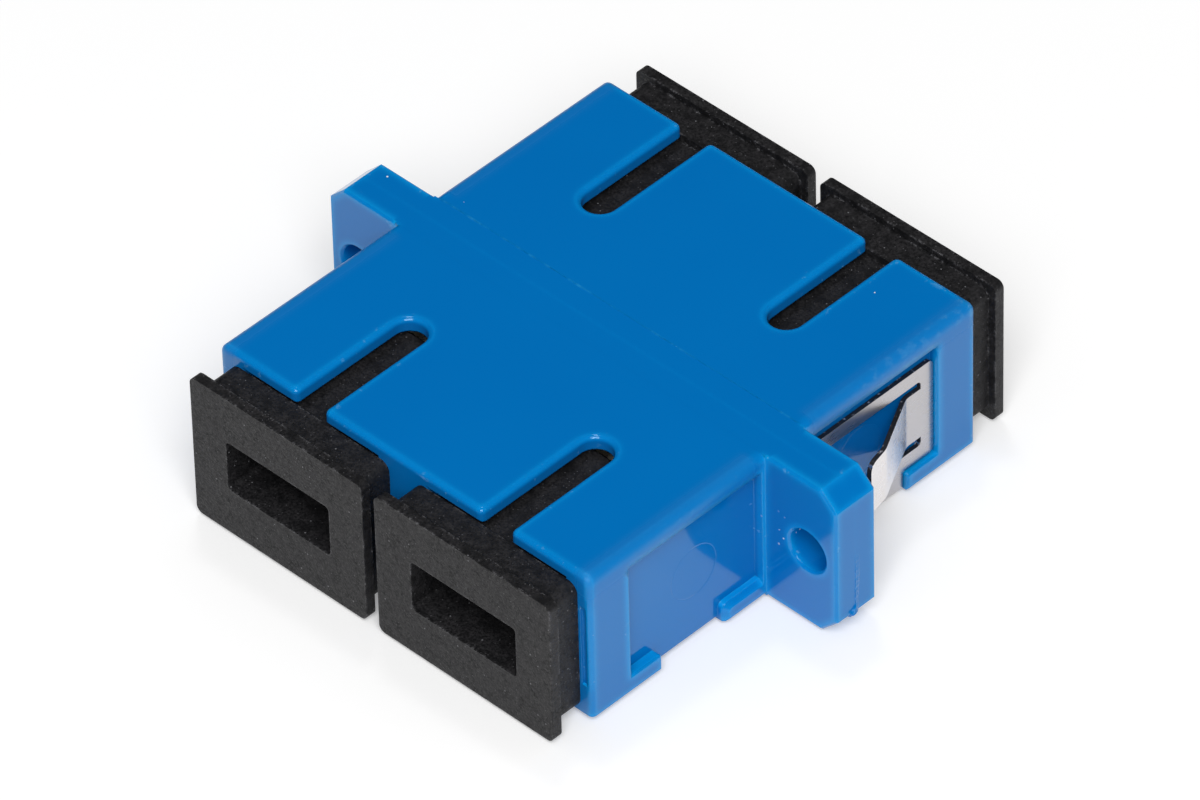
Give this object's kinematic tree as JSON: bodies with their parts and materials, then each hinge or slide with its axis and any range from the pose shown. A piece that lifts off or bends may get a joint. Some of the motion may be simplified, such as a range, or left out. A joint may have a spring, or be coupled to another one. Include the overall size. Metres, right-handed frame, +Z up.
{
  "type": "fibre optic adapter",
  "caption": "Twin-port panel adapter for square fibre plugs, with a screw flange, a steel side clip, key slots and pull-out dust caps.",
  "frame": {"origin": "under the middle of the part, on its lowest face, which is the outside of the clip's strap", "axes": "+X along the row of ports, +Y along the fibres towards the half with the clip, +Z up towards the key slots"},
  "size_m": [0.0346, 0.032, 0.0095],
  "materials": {
    "housing_blue": "satin moulded",
    "clip_steel": "satin rolled sheet",
    "holder_plastic": "natural moulded",
    "sleeve_ceramic": "ground",
    "cap_black": "soft moulded"
  },
  "bodies": {
    "adapter": {"housing_front": "housing_blue", "housing_rear": "housing_blue", "spring_clip": "clip_steel", "alignment_sleeve_left": "sleeve_ceramic", "latch_holder_front_left": "holder_plastic", "latch_holder_rear_left": "holder_plastic", "alignment_sleeve_right": "sleeve_ceramic", "latch_holder_front_right": "holder_plastic", "latch_holder_rear_right": "holder_plastic"},
    "dust_cap_front_left": {"dust_cap_front_left": "cap_black"},
    "dust_cap_rear_left": {"dust_cap_rear_left": "cap_black"},
    "dust_cap_front_right": {"dust_cap_front_right": "cap_black"},
    "dust_cap_rear_right": {"dust_cap_rear_right": "cap_black"}
  },
  "joints": [
    {"name": "dust_cap_front_left_pull", "type": "slide", "parent": "adapter", "child": "dust_cap_front_left", "axis": [0, -1, 0], "range_m": [0, 0.03]},
    {"name": "dust_cap_rear_left_pull", "type": "slide", "parent": "adapter", "child": "dust_cap_rear_left", "axis": [0, 1, 0], "range_m": [0, 0.03]},
    {"name": "dust_cap_front_right_pull", "type": "slide", "parent": "adapter", "child": "dust_cap_front_right", "axis": [0, -1, 0], "range_m": [0, 0.03]},
    {"name": "dust_cap_rear_right_pull", "type": "slide", "parent": "adapter", "child": "dust_cap_rear_right", "axis": [0, 1, 0], "range_m": [0, 0.03]}
  ]
}
